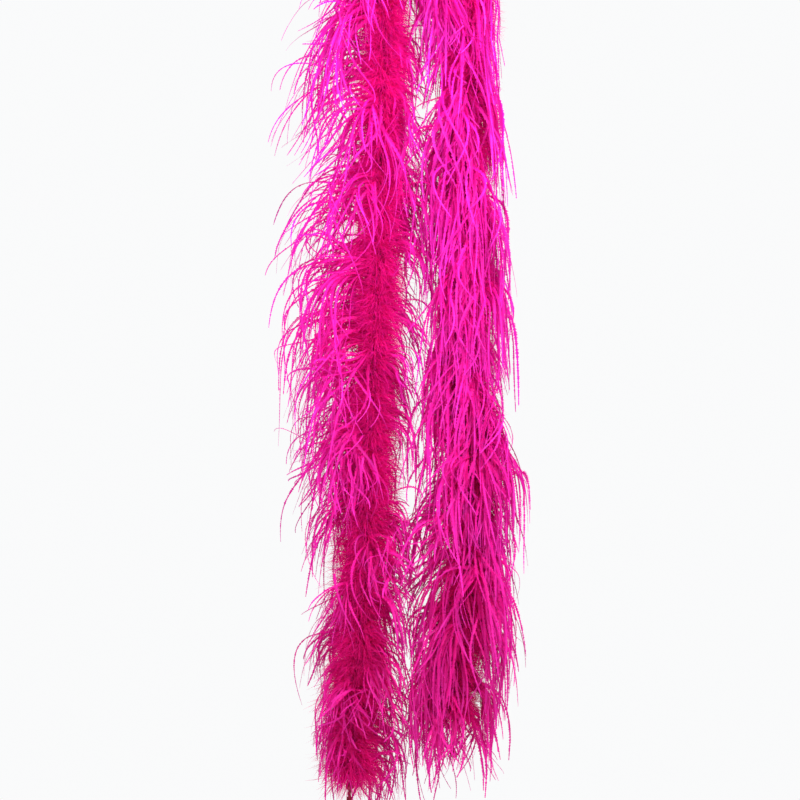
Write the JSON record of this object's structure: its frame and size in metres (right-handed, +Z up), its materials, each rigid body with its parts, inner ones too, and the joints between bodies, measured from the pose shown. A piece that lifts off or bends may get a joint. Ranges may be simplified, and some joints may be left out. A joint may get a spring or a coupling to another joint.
{
  "type": "feather boa",
  "caption": "Feather boa of ostrich plumes and marabou down tied to a twisted core cord, folded over a rail with two hanging tails.",
  "frame": {"origin": "centre of the rail, peg or neck that the fold rests on", "axes": "+Z up, against the hang of the tails; +X from the left tail to the right tail; +Y from the front to the back, along the rail"},
  "size_m": [0.2573, 0.152, 0.962],
  "materials": {
    "ostrich_flue": "dyed ostrich flue, silky, bright fuchsia with paler tips",
    "marabou_down": "dyed marabou down, matt and very soft, deep magenta",
    "core_cord": "twisted cotton cord, dyed dark crimson",
    "binding_thread": "polyester sewing thread, dark crimson",
    "whipping_thread": "waxed thread, wound tight, dark red"
  },
  "bodies": {
    "fold": {"fold_cord": "core_cord", "fold_thread": "binding_thread", "fold_down": "marabou_down", "fold_plume_left": "ostrich_flue", "fold_plume_right": "ostrich_flue"},
    "left_upper": {"left_upper_cord": "core_cord", "left_upper_thread": "binding_thread", "left_upper_down": "marabou_down", "left_upper_plume_1": "ostrich_flue", "left_upper_plume_2": "ostrich_flue", "left_upper_plume_3": "ostrich_flue"},
    "left_middle": {"left_middle_cord": "core_cord", "left_middle_thread": "binding_thread", "left_middle_down": "marabou_down", "left_middle_plume_1": "ostrich_flue", "left_middle_plume_2": "ostrich_flue", "left_middle_plume_3": "ostrich_flue"},
    "left_lower": {"left_lower_cord": "core_cord", "left_lower_thread": "binding_thread", "left_lower_down": "marabou_down", "left_lower_plume_1": "ostrich_flue", "left_lower_plume_2": "ostrich_flue", "left_lower_plume_3": "ostrich_flue", "left_lower_plume_4": "ostrich_flue", "left_end_knot": "core_cord", "left_end_whipping": "whipping_thread"},
    "right_upper": {"right_upper_cord": "core_cord", "right_upper_thread": "binding_thread", "right_upper_down": "marabou_down", "right_upper_plume_1": "ostrich_flue", "right_upper_plume_2": "ostrich_flue", "right_upper_plume_3": "ostrich_flue"},
    "right_middle": {"right_middle_cord": "core_cord", "right_middle_thread": "binding_thread", "right_middle_down": "marabou_down", "right_middle_plume_1": "ostrich_flue", "right_middle_plume_2": "ostrich_flue", "right_middle_plume_3": "ostrich_flue"},
    "right_lower": {"right_lower_cord": "core_cord", "right_lower_thread": "binding_thread", "right_lower_down": "marabou_down", "right_lower_plume_1": "ostrich_flue", "right_lower_plume_2": "ostrich_flue", "right_lower_plume_3": "ostrich_flue", "right_end_knot": "core_cord", "right_end_whipping": "whipping_thread"}
  },
  "joints": [
    {"name": "left_upper_swing", "type": "hinge", "parent": "fold", "child": "left_upper", "pos_m": [-0.044, 0, 0], "axis": [1, 0, 0], "range_deg": [-35, 35]},
    {"name": "left_middle_sway", "type": "hinge", "parent": "left_upper", "child": "left_middle", "pos_m": [-0.05, 0, -0.27], "axis": [0, 1, 0], "range_deg": [0, 35]},
    {"name": "left_lower_swing", "type": "hinge", "parent": "left_middle", "child": "left_lower", "pos_m": [-0.062, 0, -0.54], "axis": [1, 0, 0], "range_deg": [-35, 35]},
    {"name": "right_upper_swing", "type": "hinge", "parent": "fold", "child": "right_upper", "pos_m": [0.044, 0, 0], "axis": [1, 0, 0], "range_deg": [-35, 35]},
    {"name": "right_middle_sway", "type": "hinge", "parent": "right_upper", "child": "right_middle", "pos_m": [0.041, 0, -0.27], "axis": [0, -1, 0], "range_deg": [0, 35]},
    {"name": "right_lower_swing", "type": "hinge", "parent": "right_middle", "child": "right_lower", "pos_m": [0.046, 0, -0.54], "axis": [1, 0, 0], "range_deg": [-35, 35]}
  ]
}
